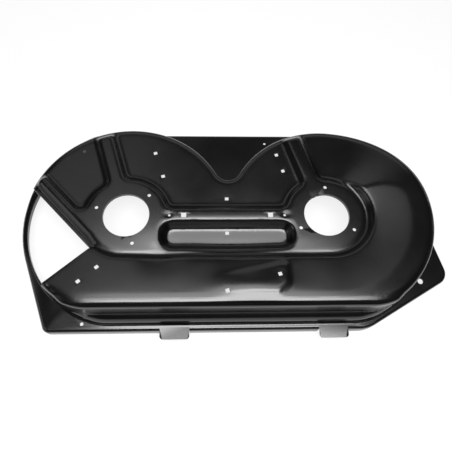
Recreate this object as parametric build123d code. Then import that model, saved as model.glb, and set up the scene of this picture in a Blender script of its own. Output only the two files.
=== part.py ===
"""Twin-blade side-discharge mower deck shell, pressed from one sheet of steel.

The spindle line lies along X, the front of the deck faces -Y and the discharge
opening is at -X. The shell is the space between an outer form and the same form
drawn in by the sheet thickness. It is pierced afterwards.
"""

import math
import os

from build123d import *

# Sheet
SHEET = 2.5

# Levels of the outer face above the ground
FLANGE_Z = 32.0
RIM_Z = 50.0
LEDGE_Z = 72.0
TROUGH_Z = 88.0
SECTOR_Z = 100.0
FLAT_Z = 114.0
TUNNEL_Z = 140.0

# Chamber walls in plan
LOBE_R = 258.0
LOBE_OVERLAP = 13.0
SPINDLE_X = LOBE_R - LOBE_OVERLAP
LEFT_LOBE = (-SPINDLE_X, 4.0)
LOBE_SHIFT = 7.0
RIGHT_LOBE = (SPINDLE_X + LOBE_SHIFT, 0.0)
FRONT_TRIM = 10.0
CHAMBER_FRONT_Y = FRONT_TRIM - LOBE_R
LEDGE_WIDTH = 17.0
TUNNEL_FRONT_Y = CHAMBER_FRONT_Y + LEDGE_WIDTH
VALLEY_R = 26.0
FRONT_BLEND_R = 140.0
DRAFT = 4.0
EDGE_R = 18.0
LEDGE_R = 16.0
FOOT_R = 6.0

# Skirt in plan
REAR_FLANGE = 26.0
REAR_Y = LOBE_R + REAR_FLANGE
FRONT_FLANGE = 16.0
LIP_FRONT_Y = CHAMBER_FRONT_Y - FRONT_FLANGE
LEFT_FLANGE = 28.0
RIM_SHIFT = 5.0
RIM_CENTRE = (RIM_SHIFT - SPINDLE_X, 22.0)
RIM_R = LOBE_R + LEFT_FLANGE
CORNER_OUT = 192.0
CORNER_X = -SPINDLE_X - CORNER_OUT
CORNER_R = 20.0
SHOULDER_OUT = 95.0
SHOULDER_X = SPINDLE_X + SHOULDER_OUT
SHOULDER_R = 80.0
EAR_OUT = 54.0
EAR = (RIGHT_LOBE[0] + LOBE_R + EAR_OUT, -139.0)
EAR_R = 34.0
RIGHT_FLANGE = 33.0
RIGHT_RIM_R = LOBE_R + RIGHT_FLANGE
RIGHT_RIM_ANGLE = -8.0
RIM_BLEND_R = 60.0
LIP_BEND_R = 8.0

# Front tabs
TAB_XS = (-127.0, 254.0)
TAB_WIDTH = 70.0
TAB_REACH = 20.0
TAB_R = 8.0

# Discharge tunnel
ROOF_SLOPE = 6.5
ROOF_R = 202.0
RIDGE_R = 112.0
RIDGE_SLOPE = 15.0
RAMP_START = 84.0
RAMP_END = 12.0
RAMP_SECTIONS = 7

# Spindle flats, rib and radial beads
FLAT_R = 96.0
RIB_REAR_Y = 17.0
BEAD_ANGLE = 107.0
BEAD_WIDTH = 32.0
BEAD_LENGTH = 202.0
STEP_SLOPE = 40.0
STEP_BLEND_R = 12.0
STEP_EDGE_R = 6.0
STEP_FOOT_R = 8.0

# Trough between rib and tunnel
TROUGH_INSET = 95.0
TROUGH_X = SPINDLE_X - TROUGH_INSET
TROUGH_REAR_Y = -24.0
TROUGH_FRONT_Y = -70.0
TROUGH_R = 18.0
TROUGH_SLOPE = 25.0
TROUGH_TILT = 5.0
TROUGH_EDGE_R = 8.0
TROUGH_RIM_R = 8.0

# Wedge-shaped seat on the tunnel roof
PAD_CORNERS = ((-40.0, -163.0), (-40.0, -200.0), (110.0, -200.0), (134.0, -178.0), (134.0, -129.0))
PAD_RISE = 5.0
PAD_DEPTH = 8.0
PAD_SLOPE = 45.0
PAD_R = 6.0

# Discharge cut-out and the raised strip along its rear edge
APEX_OUT = 75.0
APEX = (-SPINDLE_X - APEX_OUT, -88.0)
CUT_REAR_ANGLE = 134.0
CUT_FRONT_ANGLE = 222.7
STRIP_R = 86.0
STRIP_WIDTH = 14.0
STRIP_LENGTH = 192.0

# Piercings
SPINDLE_HOLE = 112.0
BOLT_PCD = 150.0
BOLT_HOLE = 8.5
BOLT_COUNT = 3
BOLT_ANGLES = (44.6, 87.6)
COLLAR_DEPTH = 6.0
DIMPLE_INSET = 104.0
DIMPLE_X = SPINDLE_X - DIMPLE_INSET
DIMPLE_HEAD = 20.0
DIMPLE_HOLE = 6.5
DIMPLE_DEPTH = 4.5
PLAIN_SQUARE = 9.0
RIB_SQUARE = 12.5
BRACKET_TURN = 17.0
CHUTE_TURN = 43.0
EAR_HOLE_INSET = (77.0, 9.0)
CORNER_HOLE_INSET = (91.0, 18.0)
REAR_HOLE_INSET = 28.0
ROUND_HOLES = (
    (-DIMPLE_X, 0.0, DIMPLE_HOLE),
    (DIMPLE_X, 0.0, DIMPLE_HOLE),
    (EAR[0] - EAR_HOLE_INSET[0], EAR[1] - EAR_HOLE_INSET[1], 14.0),
    (CORNER_X + CORNER_HOLE_INSET[0], LIP_FRONT_Y + CORNER_HOLE_INSET[1], 8.5),
    (113.0, REAR_Y - REAR_HOLE_INSET, 7.0),
    (-366.0, 186.0, 8.0),
)
SQUARE_HOLES = (
    (-106.0, 0.0, RIB_SQUARE, 0.0),
    (106.0, 0.0, RIB_SQUARE, 0.0),
    (0.0, 50.0, PLAIN_SQUARE, 0.0),
    (0.0, -38.0, PLAIN_SQUARE, 0.0),
    (-161.0, 114.0, PLAIN_SQUARE, BRACKET_TURN),
    (147.0, 130.0, PLAIN_SQUARE, BRACKET_TURN),
    (-183.0, 182.0, PLAIN_SQUARE, BRACKET_TURN),
    (133.0, 178.0, PLAIN_SQUARE, BRACKET_TURN),
    (-299.0, -137.0, PLAIN_SQUARE, CHUTE_TURN),
    (-336.0, -171.0, PLAIN_SQUARE, CHUTE_TURN),
    (116.0, -158.0, PLAIN_SQUARE, BRACKET_TURN),
    (-4.0, -196.0, PLAIN_SQUARE, BRACKET_TURN),
)

FAR = 900.0
FINE = 0.01


def inset(depth, slope):
    """Plan offset that keeps a wall leaning by slope at an even sheet thickness."""
    return depth * math.tan(math.radians(45 - slope / 2))


def run(height, slope):
    """Plan width of a wall leaning by slope over a height."""
    return height * math.tan(math.radians(slope))


def grown(plan, amount):
    """Plan outline moved out by an amount, or in where it is negative."""
    return offset(plan, amount=amount, kind=Kind.INTERSECTION) if amount else plan


def area(x_range, y_range):
    """Rectangle in plan between two limits each way."""
    (x0, x1), (y0, y1) = x_range, y_range
    return Pos((x0 + x1) / 2, (y0 + y1) / 2) * Rectangle(x1 - x0, y1 - y0)


def bead(start, angle, length, width):
    """Straight bead in plan from a start point along an angle, with a round end."""
    straight = Pos(length / 2, 0) * Rectangle(length, width)
    return Pos(*start) * Rot(0, 0, angle) * (straight + Pos(length, 0) * Circle(width / 2))


def polar(centre, radius, angle):
    """Point in plan at a radius and angle about a centre."""
    a = math.radians(angle)
    return (centre[0] + radius * math.cos(a), centre[1] + radius * math.sin(a))


def lobes_plan(front_y, drawn_in):
    """Both blade chambers with a straight front and a rounded valley at the rear."""
    discs = [Pos(*centre) * Circle(LOBE_R - drawn_in) for centre in (LEFT_LOBE, RIGHT_LOBE)]
    front = front_y + drawn_in
    middle = area((LEFT_LOBE[0], RIGHT_LOBE[0]), (front, 0))
    plan = (discs[0] + discs[1] + middle) & area((-FAR, FAR), (front, FAR))
    valley = plan.vertices().filter_by(lambda v: v.Y > 0 and abs(v.X) < LOBE_R / 2)
    plan = fillet(valley, VALLEY_R + drawn_in)
    corners = plan.vertices().filter_by(lambda v: abs(v.Y - front) < SHEET)
    return fillet(corners, FRONT_BLEND_R - drawn_in)


def skirt_plan():
    """Outline of the flange and its turned-down lip."""
    corner = (CORNER_X, LIP_FRONT_Y)
    bearing = math.degrees(math.atan2(corner[1] - RIM_CENTRE[1], corner[0] - RIM_CENTRE[0]))
    turn = math.degrees(math.acos(RIM_R / math.dist(RIM_CENTRE, corner)))
    left = polar(RIM_CENTRE, RIM_R, bearing - turn)
    right = polar(RIGHT_LOBE, RIGHT_RIM_R, RIGHT_RIM_ANGLE)
    left_rim = Pos(*RIM_CENTRE) * Circle(RIM_R)
    left_rim &= area((-FAR, RIM_CENTRE[0]), (left[1], REAR_Y))
    right_rim = Pos(*RIGHT_LOBE) * Circle(RIGHT_RIM_R)
    right_rim &= area((RIGHT_LOBE[0], FAR), (right[1], REAR_Y))
    apron = Polygon(
        left,
        corner,
        (SHOULDER_X, LIP_FRONT_Y),
        EAR,
        right,
        (RIGHT_LOBE[0], REAR_Y),
        (RIM_CENTRE[0], REAR_Y),
        align=None,
    )
    plan = left_rim + apron + right_rim
    rounds = {corner: CORNER_R, (SHOULDER_X, LIP_FRONT_Y): SHOULDER_R, EAR: EAR_R}
    for (x, y), radius in rounds.items():
        plan = fillet(plan.vertices().sort_by_distance((x, y))[0], radius)
    kinks = plan.vertices().filter_by(lambda v: abs(v.Y - REAR_Y) < SHEET)
    kinks += [plan.vertices().sort_by_distance(right)[0]]
    return fillet(kinks, RIM_BLEND_R)


def platform_plan(spread):
    """Spindle flats, the rib between them, the beads and the outlet strip."""
    spindles = [(-SPINDLE_X, 0), (SPINDLE_X, 0)]
    plan = area((-SPINDLE_X, SPINDLE_X), (-FLAT_R - spread, RIB_REAR_Y + spread))
    strip = polar(spindles[0], STRIP_R, CUT_REAR_ANGLE + 90)
    plan += bead(strip, CUT_REAR_ANGLE, STRIP_LENGTH, STRIP_WIDTH + 2 * spread)
    for spindle in spindles:
        plan += Pos(*spindle) * Circle(FLAT_R + spread)
        plan += bead(spindle, BEAD_ANGLE, BEAD_LENGTH, BEAD_WIDTH + 2 * spread)
    corners = plan.vertices().filter_by(
        lambda v: any(abs(math.dist((v.X, v.Y), s) - FLAT_R - spread) < SHEET for s in spindles)
    )
    return fillet(corners, STEP_BLEND_R)


def skirt(depth):
    """Flange and lip as a block under the flange."""
    block = extrude(grown(skirt_plan(), -depth), FLANGE_Z - depth)
    return fillet(block.faces().sort_by(Axis.Z)[-1].edges(), LIP_BEND_R - depth)


def ledge(depth):
    """Lower chamber wall, from the flange up to the ledge."""
    plan = lobes_plan(CHAMBER_FRONT_Y, inset(depth, DRAFT))
    block = extrude(Pos(0, 0, FLANGE_Z - depth) * plan, LEDGE_Z - FLANGE_Z, taper=DRAFT)
    return fillet(block.faces().sort_by(Axis.Z)[-1].edges(), LEDGE_R - depth)


def outlet_cut(low):
    """Space of the discharge cut-out above a level."""
    plan = Polygon(
        APEX, polar(APEX, FAR, CUT_REAR_ANGLE), polar(APEX, FAR, CUT_FRONT_ANGLE), align=None
    )
    return extrude(Pos(0, 0, low) * plan, FAR)


def rear_cut(depth):
    """Space over the rear sectors, from the ramp's start round to the discharge cut-out."""
    spindle = (SPINDLE_X, 0)
    plan = Polygon(
        spindle,
        polar(spindle, FAR, RAMP_START),
        (-FAR, FAR),
        polar(APEX, FAR, CUT_REAR_ANGLE),
        APEX,
        (-SPINDLE_X, 0),
        align=None,
    )
    return extrude(Pos(0, 0, SECTOR_Z - depth) * plan, FAR)


def ridge_cut(depth):
    """Space inside the tunnel's inner wall, round both spindles."""
    radius = RIDGE_R + inset(depth, RIDGE_SLOPE)
    plan = area((-SPINDLE_X, SPINDLE_X), (-radius, radius))
    for x in (-SPINDLE_X, SPINDLE_X):
        plan += Pos(x, 0) * Circle(radius)
    return extrude(Pos(0, 0, TUNNEL_Z - depth) * plan, SECTOR_Z - TUNNEL_Z, taper=RIDGE_SLOPE)


def roof_cut(depth):
    """Space over the tunnel roof, which falls inwards to the ridge."""
    low = TUNNEL_Z - depth
    inner = low - run(ROOF_R, ROOF_SLOPE)
    section = Polygon((0, inner), (ROOF_R, low), (ROOF_R, 2 * low), (0, 2 * low), align=None)
    section = Plane((SPINDLE_X, 0, 0), x_dir=(0, -1, 0), z_dir=(-1, 0, 0)) * section
    return revolve(section, Axis((SPINDLE_X, 0, 0), (0, 0, 1))) + extrude(section, FAR)


def ramp_cut(depth):
    """Space over the ramp that climbs from the rear sector to the tunnel roof."""
    inner, outer = RIDGE_R / 2, 2 * LOBE_R
    high = 2 * TUNNEL_Z
    sections = []
    for i in range(RAMP_SECTIONS):
        share = i / (RAMP_SECTIONS - 1)
        angle = RAMP_START + (RAMP_END - RAMP_START) * share
        low = SECTOR_Z - depth + (TUNNEL_Z - SECTOR_Z) * (1 - math.cos(math.pi * share)) / 2
        along = (*polar((0, 0), 1, angle), 0)
        across = (*polar((0, 0), 1, angle - 90), 0)
        radial = Plane((SPINDLE_X, 0, 0), x_dir=along, z_dir=across)
        sections.append(radial * area((inner, outer), (low, high)))
    return loft(sections)


def upper_walls(depth):
    """Upper chamber walls with the tunnel roof, the ramp and the rear sectors."""
    plan = lobes_plan(TUNNEL_FRONT_Y, inset(depth, DRAFT))
    block = extrude(Pos(0, 0, FLANGE_Z - depth) * plan, TUNNEL_Z - FLANGE_Z, taper=DRAFT)
    block = block - outlet_cut(0) - rear_cut(depth) - ramp_cut(depth) - ridge_cut(depth)
    lean = math.sin(math.radians(DRAFT / 2))
    sides = block.faces().filter_by(lambda f: f.bounding_box().min.Z < LEDGE_Z)
    sides = sides.filter_by(lambda f: abs(f.normal_at().Z) > lean)
    rims = sides.edges().filter_by(lambda e: e.bounding_box().min.Z > LEDGE_Z)
    return fillet(rims, EDGE_R - depth) - roof_cut(depth)


def trough_cut(depth):
    """Space of the trough between the rib and the tunnel."""
    spread = inset(depth, TROUGH_SLOPE)
    half = TROUGH_X + spread
    plan = area((-half, half), (TROUGH_FRONT_Y - spread, TROUGH_REAR_Y + spread))
    plan = fillet(plan.vertices(), TROUGH_R + spread)
    middle_y = (TROUGH_FRONT_Y + TROUGH_REAR_Y) / 2
    block = extrude(Pos(0, -middle_y) * plan, TUNNEL_Z - TROUGH_Z, taper=-TROUGH_SLOPE)
    block = fillet(block.faces().sort_by(Axis.Z)[0].edges(), TROUGH_EDGE_R + depth)
    return Pos(0, middle_y, TROUGH_Z - depth) * Rot(TROUGH_TILT, 0, 0) * block


def foot_edges(solid, level):
    """Edges where rising walls stand on the flat faces at a level."""
    floors = solid.faces().filter_by(Axis.Z).filter_by(lambda f: abs(f.center().Z - level) < FINE)
    walls = solid.faces().filter_by(lambda f: f.bounding_box().max.Z > level + SHEET)
    rising = walls.edges()
    return ShapeList(e for e in floors.edges() if any(e.is_same(other) for other in rising))


def platform(depth):
    """Raised spindle flats, rib and beads on a slab of the rear sectors, with the trough."""
    level = SECTOR_Z - depth
    height = FLAT_Z - SECTOR_Z
    spread = run(height, STEP_SLOPE) - inset(depth, STEP_SLOPE)
    margin = inset(STEP_FOOT_R + depth, STEP_SLOPE) + SHEET
    slab = extrude(Pos(0, 0, LEDGE_Z) * platform_plan(spread + margin), level - LEDGE_Z)
    block = slab + extrude(Pos(0, 0, level) * platform_plan(spread), height, taper=STEP_SLOPE)
    block = fillet(foot_edges(block, level), STEP_FOOT_R + depth)
    block = fillet(block.faces().sort_by(Axis.Z)[-1].edges(), STEP_EDGE_R - depth)
    block -= trough_cut(depth)
    rim = block.faces().sort_by(Axis.Z)[-1].inner_wires()[0].edges()
    return fillet(rim, TROUGH_RIM_R - depth)


def pad(depth):
    """Wedge-shaped seat on the tunnel roof, level with the roof at its left end."""
    plan = Polygon(*PAD_CORNERS, align=None)
    plan = fillet(plan.vertices(), PAD_R)
    left_x, right_x = PAD_CORNERS[0][0], PAD_CORNERS[-1][0]
    tilt = math.degrees(math.atan2(PAD_RISE, right_x - left_x))
    base = grown(plan, run(PAD_DEPTH, PAD_SLOPE) - inset(depth, PAD_SLOPE))
    block = extrude(Pos(-left_x, ROOF_R, -PAD_DEPTH) * base, PAD_DEPTH, taper=PAD_SLOPE)
    return Pos(left_x, -ROOF_R, TUNNEL_Z - depth) * Rot(-ROOF_SLOPE, 0, 0) * Rot(0, -tilt, 0) * block


def dimples(depth):
    """Countersunk screw dimples at both ends of the rib."""
    top, bottom = DIMPLE_HEAD / 2, DIMPLE_HOLE / 2 + SHEET
    slope = math.degrees(math.atan2(top - bottom, DIMPLE_DEPTH))
    spread = inset(depth, slope)
    cone = Cone(bottom + spread, top + spread, DIMPLE_DEPTH)
    middle = FLAT_Z - depth - DIMPLE_DEPTH / 2
    return [Pos(x, 0, middle) * cone for x in (-DIMPLE_X, DIMPLE_X)]


def form(depth):
    """Solid under the sheet's outer face, or under its inner face at the sheet's depth."""
    solid = skirt(depth) + ledge(depth) + upper_walls(depth)
    solid = fillet(foot_edges(solid, FLANGE_Z - depth), FOOT_R + depth)
    solid -= trough_cut(depth)
    return solid + platform(depth) + pad(depth) - dimples(depth)


def tabs(shell):
    """Shell with its lip cut away at the two front tabs, which run on level with the flange."""
    bend_y = LIP_FRONT_Y + LIP_BEND_R
    front_y = LIP_FRONT_Y - TAB_REACH
    for x in TAB_XS:
        span = (x - TAB_WIDTH / 2, x + TAB_WIDTH / 2)
        shell -= extrude(area(span, (front_y, bend_y)), FLANGE_Z)
        plan = area(span, (front_y, bend_y))
        plan = fillet(plan.vertices().group_by(Axis.Y)[0], TAB_R)
        shell += extrude(Pos(0, 0, FLANGE_Z - SHEET) * plan, SHEET)
    return shell


def piercings():
    """Cutters of the spindle holes, their bolt holes and the single holes."""
    cutters = []
    for side, angle in zip((-1, 1), BOLT_ANGLES):
        centre = (side * SPINDLE_X, 0)
        cutters.append(Pos(*centre) * Cylinder(SPINDLE_HOLE / 2, FAR))
        for i in range(BOLT_COUNT):
            place = polar(centre, BOLT_PCD / 2, angle + i * 360 / BOLT_COUNT)
            cutters.append(Pos(*place) * Cylinder(BOLT_HOLE / 2, FAR))
    for x, y, diameter in ROUND_HOLES:
        cutters.append(Pos(x, y) * Cylinder(diameter / 2, FAR))
    for x, y, side, turn in SQUARE_HOLES:
        cutters.append(Pos(x, y) * Rot(0, 0, turn) * Box(side, side, FAR))
    return cutters


def collars(shell):
    """Shell with a turned-down collar round each spindle hole."""
    low = FLAT_Z - SHEET - COLLAR_DEPTH
    ring = extrude(Circle(SPINDLE_HOLE / 2 + SHEET), COLLAR_DEPTH + SHEET / 2)
    for x in (-SPINDLE_X, SPINDLE_X):
        shell += Pos(x, 0, low) * ring
    return shell


def deck_shell():
    """The whole pressing."""
    shell = form(0) - form(SHEET) - outlet_cut(RIM_Z)
    return tabs(collars(shell)) - piercings()


def main():
    """Write the pressing with the centre of its footprint at the origin."""
    os.makedirs("parts", exist_ok=True)
    shell = deck_shell()
    middle = shell.bounding_box().center()
    export_step(Pos(-middle.X, -middle.Y, 0) * shell, "parts/deck_shell.step")


main()
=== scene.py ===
"""Looks of a pressed-steel twin-blade mower deck shell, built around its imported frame."""

from __future__ import annotations

import logging
import math
from dataclasses import dataclass, field
from enum import Enum

import bmesh
import bpy
import numpy as np
from mathutils import Matrix, Vector
from mathutils.bvhtree import BVHTree

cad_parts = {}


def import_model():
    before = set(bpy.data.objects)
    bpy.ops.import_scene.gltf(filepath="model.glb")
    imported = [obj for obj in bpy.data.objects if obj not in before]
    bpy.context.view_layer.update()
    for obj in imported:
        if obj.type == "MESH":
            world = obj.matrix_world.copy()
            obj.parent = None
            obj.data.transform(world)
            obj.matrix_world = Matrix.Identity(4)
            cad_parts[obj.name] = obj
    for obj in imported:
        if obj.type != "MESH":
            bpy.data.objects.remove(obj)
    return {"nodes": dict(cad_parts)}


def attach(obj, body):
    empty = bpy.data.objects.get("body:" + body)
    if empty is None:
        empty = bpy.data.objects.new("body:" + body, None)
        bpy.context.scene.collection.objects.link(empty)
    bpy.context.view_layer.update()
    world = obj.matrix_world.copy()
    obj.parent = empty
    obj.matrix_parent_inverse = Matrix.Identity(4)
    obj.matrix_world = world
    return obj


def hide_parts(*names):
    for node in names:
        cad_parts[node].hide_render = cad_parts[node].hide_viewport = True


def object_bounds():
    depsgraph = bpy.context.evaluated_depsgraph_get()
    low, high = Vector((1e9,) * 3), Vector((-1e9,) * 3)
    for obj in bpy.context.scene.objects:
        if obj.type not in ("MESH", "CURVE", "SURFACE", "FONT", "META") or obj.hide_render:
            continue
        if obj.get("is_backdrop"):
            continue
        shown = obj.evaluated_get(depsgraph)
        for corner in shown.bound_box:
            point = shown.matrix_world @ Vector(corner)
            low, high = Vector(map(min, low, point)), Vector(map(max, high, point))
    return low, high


LOG = logging.getLogger("deck")
MM = 0.001

Colour = tuple[float, float, float]
Point = tuple[float, float, float]
Place = tuple[float, float]
Range = tuple[float, float]
Box = tuple[Vector, Vector]

LEFT_SPINDLE: Place = (-0.26144, 0.0)
RIGHT_SPINDLE: Place = (0.22856, 0.0)


class Slot(Enum):
    """Material slots of the record that this scene dresses."""

    COAT = "black_coat"


class Node(Enum):
    """Nodes of the frame that this scene dresses."""

    SHELL = "deck_shell"


class NodeSheet:
    """Small helper that places and links nodes of one node tree."""

    def __init__(self, tree: bpy.types.NodeTree) -> None:
        """Start from an empty tree.

        Args:
            tree: the node tree to fill.
        """
        self.tree = tree
        tree.nodes.clear()

    def add(self, kind: str, **values: object) -> bpy.types.Node:
        """Add a node and set its properties.

        Args:
            kind: the node's type name.
            values: the node's properties by name.

        Returns:
            The new node.
        """
        node = self.tree.nodes.new(kind)
        for name, value in values.items():
            setattr(node, name, value)
        return node

    def link(self, source: bpy.types.NodeSocket, target: bpy.types.NodeSocket) -> None:
        """Link an output to an input.

        Args:
            source: the output socket.
            target: the input socket.
        """
        self.tree.links.new(source, target)


def principled(sheet: NodeSheet) -> bpy.types.Node:
    """Add a Principled BSDF that feeds the material's output.

    Args:
        sheet: the material's node sheet.

    Returns:
        The shader node.
    """
    shader = sheet.add("ShaderNodeBsdfPrincipled")
    output = sheet.add("ShaderNodeOutputMaterial")
    sheet.link(shader.outputs["BSDF"], output.inputs["Surface"])
    return shader


@dataclass(frozen=True)
class OrangePeel:
    """Fine waviness and mottle that a sprayed or baked coat dries to."""

    scale: float = 400.0
    strength: float = 0.1
    depth: float = 0.0002
    ripple_detail: float = 1.0
    mottle_scale: float = 9.0
    mottle_detail: float = 4.0

    def group(self) -> bpy.types.NodeTree:
        """Make the node group.

        Returns:
            A node group with inputs Scale and Strength and outputs Normal and Mottle.
        """
        tree = bpy.data.node_groups.new("orange_peel", "ShaderNodeTree")
        for name, default in (("Scale", self.scale), ("Strength", self.strength)):
            socket = tree.interface.new_socket(name, in_out="INPUT", socket_type="NodeSocketFloat")
            socket.default_value = default
        tree.interface.new_socket("Normal", in_out="OUTPUT", socket_type="NodeSocketVector")
        tree.interface.new_socket("Mottle", in_out="OUTPUT", socket_type="NodeSocketFloat")
        sheet = NodeSheet(tree)
        inputs = sheet.add("NodeGroupInput")
        outputs = sheet.add("NodeGroupOutput")
        place = sheet.add("ShaderNodeTexCoord")
        ripple = sheet.add("ShaderNodeTexNoise")
        ripple.inputs["Detail"].default_value = self.ripple_detail
        mottle = sheet.add("ShaderNodeTexNoise")
        mottle.inputs["Scale"].default_value = self.mottle_scale
        mottle.inputs["Detail"].default_value = self.mottle_detail
        bump = sheet.add("ShaderNodeBump")
        bump.inputs["Distance"].default_value = self.depth
        sheet.link(place.outputs["Object"], ripple.inputs["Vector"])
        sheet.link(place.outputs["Object"], mottle.inputs["Vector"])
        sheet.link(inputs.outputs["Scale"], ripple.inputs["Scale"])
        sheet.link(inputs.outputs["Strength"], bump.inputs["Strength"])
        sheet.link(ripple.outputs["Fac"], bump.inputs["Height"])
        sheet.link(bump.outputs["Normal"], outputs.inputs["Normal"])
        sheet.link(mottle.outputs["Fac"], outputs.inputs["Mottle"])
        return tree


@dataclass(frozen=True)
class CoatFinish:
    """Semi-gloss black coat over pressed steel."""

    name: str = "black_coat"
    colour: Colour = (0.0012, 0.0012, 0.00125)
    roughness: Range = (0.20, 0.26)
    mottle_span: Range = (0.3, 0.7)
    ior: float = 1.6
    peel_scale: float = 420.0
    peel_strength: float = 0.06

    def build(self, peel: bpy.types.NodeTree) -> bpy.types.Material:
        """Make the coat's material.

        Args:
            peel: the orange peel node group.

        Returns:
            The finished material.
        """
        material = bpy.data.materials.new(self.name)
        material.use_nodes = True
        sheet = NodeSheet(material.node_tree)
        shader = principled(sheet)
        shader.inputs["Base Color"].default_value = (*self.colour, 1.0)
        shader.inputs["IOR"].default_value = self.ior
        coat = sheet.add("ShaderNodeGroup")
        coat.node_tree = peel
        coat.inputs["Scale"].default_value = self.peel_scale
        coat.inputs["Strength"].default_value = self.peel_strength
        spread = sheet.add("ShaderNodeMapRange")
        for side, limits in (("From", self.mottle_span), ("To", self.roughness)):
            spread.inputs[f"{side} Min"].default_value = limits[0]
            spread.inputs[f"{side} Max"].default_value = limits[1]
        sheet.link(coat.outputs["Mottle"], spread.inputs["Value"])
        sheet.link(spread.outputs["Result"], shader.inputs["Roughness"])
        sheet.link(coat.outputs["Normal"], shader.inputs["Normal"])
        return material


@dataclass
class Relief:
    """Square grid of values over the plan of the shell."""

    low: np.ndarray
    step: float
    values: np.ndarray
    tail: int = 3

    def at(self, points: np.ndarray) -> np.ndarray:
        """Read the grid between its points.

        Args:
            points: plan positions in metres, one per row.

        Returns:
            One value per position.
        """
        place = (points[:, :2] - self.low) / self.step
        limit = np.array(self.values.shape) - 2
        cell = np.clip(np.floor(place).astype(int), 0, limit)
        part = np.clip(place - cell, 0.0, 1.0)
        i, j = cell.T
        u, v = part.T
        near = self.values[i, j] * (1 - v) + self.values[i, j + 1] * v
        far = self.values[i + 1, j] * (1 - v) + self.values[i + 1, j + 1] * v
        return near * (1 - u) + far * u

    def blurred(self, layer: np.ndarray, spread: float) -> np.ndarray:
        """Blur a layer of the same grid, out to a tail of a few deviations.

        Args:
            layer: the values to blur.
            spread: standard deviation in metres.

        Returns:
            The blurred layer.
        """
        sigma = spread / self.step
        reach = math.ceil(self.tail * sigma)
        places = np.arange(-reach, reach + 1)
        taps = np.exp(-0.5 * (places / sigma) ** 2)
        taps /= taps.sum()
        for axis in (0, 1):
            layer = sum(tap * np.roll(layer, place, axis) for tap, place in zip(taps, places))
        return layer


@dataclass(frozen=True)
class Swell:
    """Broad soft rise or dip of the sheet, in metres."""

    centre: Place
    half: Place
    height: float

    def rise(self, xs: np.ndarray, ys: np.ndarray) -> np.ndarray:
        """Find the rise over a grid.

        Args:
            xs: places along the deck, as a column.
            ys: places across the deck, as a row.

        Returns:
            The rise at each grid point.
        """
        along = (xs - self.centre[0]) / self.half[0]
        across = (ys - self.centre[1]) / self.half[1]
        return self.height * np.exp(-0.5 * (along**2 + across**2))


@dataclass(frozen=True)
class BeadRun:
    """Straight bead that runs on to the rim of its lobe, in metres and degrees."""

    start: Place
    angle: float
    length: float
    half: float
    level: float = 0.114
    lean: float = 40.0

    def height(self, xs: np.ndarray, ys: np.ndarray) -> np.ndarray:
        """Find the height of the bead's faces over a grid.

        Args:
            xs: places along the deck, as a column.
            ys: places across the deck, as a row.

        Returns:
            The height at each grid point, or 0 beyond the bead's ends.
        """
        turn = math.radians(self.angle)
        x, y = xs - self.start[0], ys - self.start[1]
        along = x * math.cos(turn) + y * math.sin(turn)
        aside = np.abs(y * math.cos(turn) - x * math.sin(turn)) - self.half
        height = self.level - np.maximum(aside, 0.0) / math.tan(math.radians(self.lean))
        return np.where((along > 0.0) & (along < self.length), height, 0.0)


@dataclass(frozen=True)
class FrontWall:
    """Stand of the almost upright front walls, in metres and degrees."""

    draft: float = 4.0
    foot: float = 0.032
    reach: Range = (-0.202, -0.212)

    def shift(self, points: np.ndarray) -> np.ndarray:
        """Find how far each point moves to the front.

        Args:
            points: one position per row.

        Returns:
            The move of each point along Y.
        """
        _, y, z = points.T
        share = np.clip((self.reach[0] - y) / (self.reach[0] - self.reach[1]), 0.0, 1.0)
        return -math.tan(math.radians(self.draft)) * np.maximum(z - self.foot, 0.0) * share


@dataclass(frozen=True)
class EdgeRoll:
    """Roll of the flange below the discharge opening, down to its outer edge, in metres."""

    corner: Place = (-0.45344, -0.264)
    centre: Place = (-0.25644, 0.022)
    radius: float = 0.286
    limits: Range = (-0.392, -0.420)
    rear: Range = (0.060, 0.140)
    width: float = 0.042
    drop: float = 0.009
    flange: float = 0.033

    def rise(self, points: np.ndarray) -> np.ndarray:
        """Find how far each point of the flange falls.

        Args:
            points: one position per row.

        Returns:
            The rise of each point, which is negative here.
        """
        x, y, z = points.T
        corner, centre = Vector(self.corner), Vector(self.centre)
        span = centre - corner
        bearing = math.atan2(span.y, span.x) + math.asin(self.radius / span.length)
        beside = math.sin(bearing) * (x - corner.x) - math.cos(bearing) * (y - corner.y)
        turned = (x - centre.x) * math.cos(bearing) + (y - centre.y) * math.sin(bearing) > 0
        inside = np.where(turned, self.radius - np.hypot(x - centre.x, y - centre.y), beside)
        share = np.clip((self.limits[0] - x) / (self.limits[0] - self.limits[1]), 0.0, 1.0)
        share *= np.clip((self.rear[1] - y) / (self.rear[1] - self.rear[0]), 0.0, 1.0)
        curve = np.clip(1.0 - inside / self.width, 0.0, 1.0) ** 2
        low = np.clip(z / self.flange, 0.0, 1.0)
        return np.where(z < self.flange, -self.drop * curve * share * low, 0.0)


@dataclass(frozen=True)
class LedgeFall:
    """Fall of the front ledge from the upper wall to its edge, in metres and degrees."""

    foot_y: float = -0.228
    width: float = 0.019
    slope: float = 24.0
    top: float = 0.0725
    full: float = 0.056
    none: float = 0.038

    def rise(self, points: np.ndarray) -> np.ndarray:
        """Find how far each point falls.

        Args:
            points: one position per row.

        Returns:
            The rise of each point, which is negative here.
        """
        _, y, z = points.T
        reach = np.clip(self.foot_y - y, 0.0, self.width)
        share = np.clip((z - self.none) / (self.full - self.none), 0.0, 1.0)
        return np.where(z < self.top, -math.tan(math.radians(self.slope)) * reach * share, 0.0)


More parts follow.
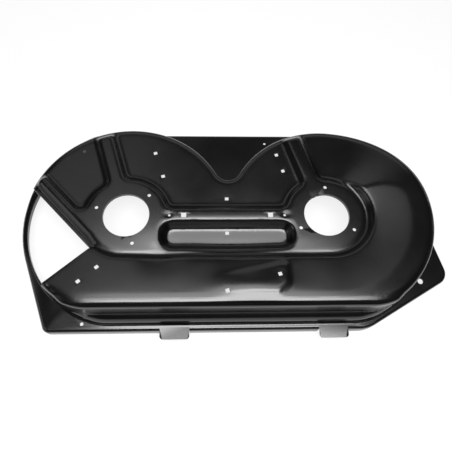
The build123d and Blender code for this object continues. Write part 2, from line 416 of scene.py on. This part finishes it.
@dataclass(frozen=True)
class PressForm:
    """Rounding that drawing a sheet over a die gives the steps of the upper faces.

    Lengths are in metres.

    Attributes:
        spread: standard deviation of the rounding.
        grid: step of the height grid.
        margin: how far the grid reaches past the shell.
        lowest: height above which faces are rounded.
        least_cover: cover below which a grid point is left empty.
        hole_cover: cover above which a hole counts as closed.
        fade: cover where the rounding starts and is full, at the rim.
        sheet_reach: how far below the top an underside can lie.
        edge_limit: longest edge where the sheet is rounded.
        flat_limit: longest edge elsewhere.
        least_move: move that counts as rounding.
        samples: places tried along an edge.
        rounds: most rounds of halving.
        most_faces: number of faces past which no round starts.
        kept_faces: number of faces kept in the end.
        weld: distance at which vertices are joined.
        nudge: how far inside the sheet the top is looked up.
        spindles: centres of the spindle holes, which are filled for the rounding.
        spindle_reach: radius of that filling.
        swells: soft rises and dips.
        runs: beads that run out to the rim.
        ledge: fall of the front ledge.
        wall: stand of the front walls.
        roll: roll of the left flange.
    """

    spread: float = 0.005
    grid: float = 0.0025
    margin: float = 0.04
    lowest: float = 0.080
    least_cover: float = 0.000001
    hole_cover: float = 0.3
    fade: Range = (0.80, 0.98)
    sheet_reach: float = 0.010
    edge_limit: float = 0.0055
    flat_limit: float = 0.020
    least_move: float = 0.00006
    samples: int = 17
    rounds: int = 8
    most_faces: int = 330000
    kept_faces: int = 180000
    weld: float = 0.000001
    nudge: float = 0.0005
    spindles: tuple[Place, ...] = (LEFT_SPINDLE, RIGHT_SPINDLE)
    spindle_reach: float = 0.059
    swells: tuple[Swell, ...] = (
        Swell((0.030, -0.182), (0.050, 0.021), 0.006),
        Swell((-0.180, -0.100), (0.032, 0.025), -0.006),
        Swell((-0.006, -0.090), (0.085, 0.013), -0.010),
    )
    runs: tuple[BeadRun, ...] = (
        BeadRun(LEFT_SPINDLE, 107.0, 0.238, 0.016),
        BeadRun(RIGHT_SPINDLE, 107.0, 0.236, 0.016),
        BeadRun((-0.3233, -0.0597), 134.0, 0.226, 0.007),
    )
    ledge: LedgeFall = LedgeFall()
    wall: FrontWall = FrontWall()
    roll: EdgeRoll = EdgeRoll()

    def top(self, tree: BVHTree, x: float, y: float) -> float:
        """Find the top of the shell at a place in plan.

        Args:
            tree: search tree of the shell's faces.
            x: place along the deck in metres.
            y: place across the deck in metres.

        Returns:
            The height there, or 0 beside the shell.
        """
        hit = tree.ray_cast(Vector((x, y, 1.0)), Vector((0.0, 0.0, -1.0)))[0]
        return hit.z if hit else 0.0

    def relief(self, tree: BVHTree, box: Box) -> tuple[Relief, Relief, Relief]:
        """Find the rounded heights of the upper faces.

        Args:
            tree: search tree of the shell's faces.
            box: lowest and highest corner of the shell.

        Returns:
            The rounded heights, the share of the rounding at each place and how far it moves it.
        """
        low = np.array(box[0])[:2] - self.margin
        high = np.array(box[1])[:2] + self.margin
        count = np.ceil((high - low) / self.grid).astype(int)
        xs = low[0] + self.grid * np.arange(count[0])
        ys = low[1] + self.grid * np.arange(count[1])
        heights = np.array([[self.top(tree, x, y) for y in ys] for x in xs])
        upper = (heights > self.lowest).astype(float)
        for x, y in self.spindles:
            away = np.hypot(xs[:, None] - x, ys[None, :] - y)
            rim = (away > self.spindle_reach) & (away < self.spindle_reach + 2 * self.grid)
            heights[away <= self.spindle_reach] = np.median(heights[rim])
            upper[away <= self.spindle_reach] = 1.0
        drawn = heights
        for bead in self.runs:
            drawn = np.maximum(drawn, bead.height(xs[:, None], ys[None, :]))
        grid = Relief(low, self.grid, heights)
        cover = grid.blurred(upper, self.spread)
        soft = grid.blurred(drawn * upper, self.spread) / np.maximum(cover, self.least_cover)
        for swell in self.swells:
            soft = soft + swell.rise(xs[:, None], ys[None, :])
        whole = (cover > self.hole_cover).astype(float)
        inside = grid.blurred(whole, 2 * self.spread)
        share = np.clip((inside - self.fade[0]) / (self.fade[1] - self.fade[0]), 0.0, 1.0)
        share = share * share * (3 - 2 * share)
        moves = np.where(upper > 0, share * (soft - heights), 0.0)
        soft_grid, share_grid, moves_grid = (
            Relief(low, self.grid, values) for values in (soft, share, moves)
        )
        return soft_grid, share_grid, moves_grid

    def refine(self, sheet: bmesh.types.BMesh, moves: Relief) -> None:
        """Halve the edges of the upper faces that are too long for the rounding there.

        Args:
            sheet: the shell's mesh.
            moves: how far the rounding moves each place.
        """
        for _ in range(self.rounds):
            edges = [e for e in sheet.edges if e.calc_length() > self.edge_limit]
            if not edges or len(sheet.faces) > self.most_faces:
                break
            starts = np.array([e.verts[0].co for e in edges])
            ends = np.array([e.verts[1].co for e in edges])
            split = np.linalg.norm(ends - starts, axis=1) > self.flat_limit
            for share in np.linspace(0.0, 1.0, self.samples):
                split |= np.abs(moves.at(starts + share * (ends - starts))) > self.least_move
            split &= np.minimum(starts[:, 2], ends[:, 2]) > self.lowest
            chosen = [edge for edge, pick in zip(edges, split) if pick]
            bmesh.ops.subdivide_edges(sheet, edges=chosen, cuts=1)
            bmesh.ops.triangulate(sheet, faces=[f for f in sheet.faces if len(f.verts) > 3])
        LOG.info("shell refined to %d faces", len(sheet.faces))

    def lighten(self, piece: bpy.types.Object) -> None:
        """Collapse short edges that carry no form, down to the number of faces kept.

        Args:
            piece: the pressed shell.
        """
        heavy = piece.data
        change = piece.modifiers.new("lighten", "DECIMATE")
        change.ratio = min(1.0, self.kept_faces / len(heavy.polygons))
        bpy.context.view_layer.update()
        graph = bpy.context.evaluated_depsgraph_get()
        light = bpy.data.meshes.new_from_object(piece.evaluated_get(graph))
        light.validate()
        piece.modifiers.remove(change)
        piece.data = light
        bpy.data.meshes.remove(heavy)

    def press(self, source: bpy.types.Object, box: Box) -> bpy.types.Mesh:
        """Make the rounded mesh of a shell.

        Args:
            source: the frame's shell object.
            box: lowest and highest corner of the shell.

        Returns:
            The new mesh, in the frame's own axes.
        """
        sheet = bmesh.new()
        sheet.from_mesh(source.data)
        sheet.transform(source.matrix_world)
        bmesh.ops.remove_doubles(sheet, verts=sheet.verts[:], dist=self.weld)
        tree = BVHTree.FromBMesh(sheet)
        soft, share, moves = self.relief(tree, box)
        self.refine(sheet, moves)
        sheet.normal_update()
        points = np.array([v.co for v in sheet.verts])
        normals = np.array([v.normal for v in sheet.verts])
        inward = points - self.nudge * normals
        tops = np.array([self.top(tree, x, y) for x, y, _ in inward])
        above = tops - points[:, 2]
        under = (normals[:, 2] < 0) & (above > 0) & (above < self.sheet_reach)
        tops = np.where(under, tops, points[:, 2])
        rise = np.where(tops > self.lowest, share.at(points) * (soft.at(points) - tops), 0.0)
        rise += self.ledge.rise(points) + self.roll.rise(points)
        shift = self.wall.shift(points)
        for vertex, forward, up in zip(sheet.verts, shift, rise):
            vertex.co.y += forward
            vertex.co.z += up
        mesh = bpy.data.meshes.new("pressed_shell")
        sheet.to_mesh(mesh)
        sheet.free()
        return mesh


@dataclass
class DeckShell:
    """The pressed shell with its rounded steps and its coat."""

    finish: CoatFinish = field(default_factory=CoatFinish)
    form: PressForm = field(default_factory=PressForm)
    crease: float = 38.0
    flat_weight: int = 90

    def dress(self, shell: bpy.types.Object, box: Box) -> bpy.types.Object:
        """Stand the rounded and coated shell in for the frame's own.

        Args:
            shell: the frame's shell object.
            box: lowest and highest corner of the shell.

        Returns:
            The dressed shell.
        """
        piece = bpy.data.objects.new("pressed_shell", self.form.press(shell, box))
        bpy.context.scene.collection.objects.link(piece)
        self.form.lighten(piece)
        mesh = piece.data
        mesh.polygons.foreach_set("use_smooth", [True] * len(mesh.polygons))
        mesh.set_sharp_from_angle(angle=math.radians(self.crease))
        mesh.materials.append(self.finish.build(OrangePeel().group()))
        shading = piece.modifiers.new("even_shading", "WEIGHTED_NORMAL")
        shading.keep_sharp = True
        shading.weight = self.flat_weight
        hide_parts(Node.SHELL.value)
        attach(piece, "root")
        return piece


@dataclass(frozen=True)
class Lamp:
    """Rectangular soft lamp that faces a target, in metres and watts."""

    name: str
    place: Point
    target: Point
    size: Place
    power: float

    def build(self) -> bpy.types.Object:
        """Make the lamp.

        Returns:
            The lamp.
        """
        data = bpy.data.lights.new(self.name, "AREA")
        data.shape = "RECTANGLE"
        data.size, data.size_y = self.size
        data.energy = self.power
        lamp = bpy.data.objects.new(self.name, data)
        lamp.location = self.place
        facing = Vector(self.target) - Vector(self.place)
        lamp.rotation_euler = facing.to_track_quat("-Z", "Y").to_euler()
        bpy.context.scene.collection.objects.link(lamp)
        return lamp


@dataclass
class Studio:
    """Pale floor, soft lamps and the even light of the room."""

    floor_size: float = 12.0
    floor_colour: Colour = (0.8, 0.8, 0.8)
    white_share: float = 0.82
    room_light: float = 0.05
    lamps: tuple[Lamp, ...] = (
        Lamp("overhead", (0.05, -0.62, 2.0), (0.05, -0.62, 0.0), (1.8, 1.0), 68.0),
        Lamp("overhead_rear", (-0.04, 0.28, 2.0), (-0.04, 0.28, 0.0), (1.65, 0.80), 17.0),
        Lamp("left_rear", (-1.0, 1.20, 2.0), (-1.0, 1.20, 0.0), (1.2, 0.9), 1.6),
        Lamp("left_side", (-2.2, -0.4, 0.9), (0.0, -0.1, 0.1), (1.0, 1.0), 3.0),
        Lamp("backdrop", (0.0, 2.6, 1.6), (0.0, 0.0, 0.1), (4.0, 1.2), 9.0),
    )

    def build(self) -> None:
        """Make the floor, the lamps and the world."""
        self.floor()
        for lamp in self.lamps:
            lamp.build()
        self.world()

    def floor(self) -> None:
        """Make the pale floor, which stays white where the camera or a reflection sees it."""
        half = self.floor_size / 2
        mesh = bpy.data.meshes.new("floor")
        corners = [(-half, -half, 0), (half, -half, 0), (half, half, 0), (-half, half, 0)]
        mesh.from_pydata(corners, [], [(0, 1, 2, 3)])
        floor = bpy.data.objects.new("floor", mesh)
        bpy.context.scene.collection.objects.link(floor)
        floor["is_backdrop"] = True
        material = bpy.data.materials.new("pale_floor")
        material.use_nodes = True
        sheet = NodeSheet(material.node_tree)
        output = sheet.add("ShaderNodeOutputMaterial")
        lit = sheet.add("ShaderNodeBsdfDiffuse")
        lit.inputs["Color"].default_value = (*self.floor_colour, 1.0)
        white = sheet.add("ShaderNodeEmission")
        path = sheet.add("ShaderNodeLightPath")
        seen = sheet.add("ShaderNodeMath", operation="ADD", use_clamp=True)
        clear = sheet.add("ShaderNodeMath", operation="ADD", use_clamp=True)
        share = sheet.add("ShaderNodeMath", operation="MULTIPLY")
        share.inputs[1].default_value = self.white_share
        mix = sheet.add("ShaderNodeMixShader")
        sheet.link(path.outputs["Is Camera Ray"], seen.inputs[0])
        sheet.link(path.outputs["Is Glossy Ray"], seen.inputs[1])
        sheet.link(seen.outputs[0], clear.inputs[0])
        sheet.link(path.outputs["Is Transmission Ray"], clear.inputs[1])
        sheet.link(clear.outputs[0], share.inputs[0])
        sheet.link(share.outputs[0], mix.inputs["Fac"])
        sheet.link(lit.outputs["BSDF"], mix.inputs[1])
        sheet.link(white.outputs["Emission"], mix.inputs[2])
        sheet.link(mix.outputs["Shader"], output.inputs["Surface"])
        mesh.materials.append(material)

    def world(self) -> None:
        """Make the even light of the room."""
        world = bpy.data.worlds.new("room")
        world.use_nodes = True
        sheet = NodeSheet(world.node_tree)
        glow = sheet.add("ShaderNodeBackground")
        output = sheet.add("ShaderNodeOutputWorld")
        glow.inputs["Color"].default_value = (1.0, 1.0, 1.0, 1.0)
        glow.inputs["Strength"].default_value = self.room_light
        sheet.link(glow.outputs["Background"], output.inputs["Surface"])
        bpy.context.scene.world = world


@dataclass
class Camera:
    """Camera at the angle of the photograph, in millimetres and degrees."""

    lens: float = 36.135
    yaw: float = -5.84
    pitch: float = 67.18
    roll: float = 5.23
    aim: Point = (-20.1, -30.0, 114.0)
    distance: float = 1093.1

    def build(self) -> bpy.types.Object:
        """Make the camera and set it as the scene's own.

        Returns:
            The camera.
        """
        turn = Matrix.Rotation(math.radians(self.yaw), 3, "Z")
        pitch = math.radians(self.pitch)
        ahead = turn @ Vector((0.0, math.cos(pitch), -math.sin(pitch)))
        above = turn @ Vector((0.0, math.sin(pitch), math.cos(pitch)))
        across = turn @ Vector((1.0, 0.0, 0.0))
        roll = math.radians(self.roll)
        right = math.cos(roll) * across + math.sin(roll) * above
        up = math.cos(roll) * above - math.sin(roll) * across
        data = bpy.data.cameras.new("camera")
        data.lens = self.lens
        camera = bpy.data.objects.new("camera", data)
        spin = Matrix((right, up, -ahead)).transposed().to_4x4()
        place = (Vector(self.aim) - self.distance * ahead) * MM
        camera.matrix_world = Matrix.Translation(place) @ spin
        bpy.context.scene.collection.objects.link(camera)
        bpy.context.scene.camera = camera
        return camera


def main() -> None:
    """Dress the shell, light it and set the camera."""
    logging.basicConfig(level=logging.INFO, format="%(name)s: %(message)s")
    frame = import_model()
    cad_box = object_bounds()
    bpy.context.scene.view_settings.view_transform = "Standard"
    shell = DeckShell().dress(frame["nodes"][Node.SHELL.value], cad_box)
    LOG.info("%s dressed, %d faces", shell.name, len(shell.data.polygons))
    Studio().build()
    Camera().build()


if __name__ == "__main__":
    main()
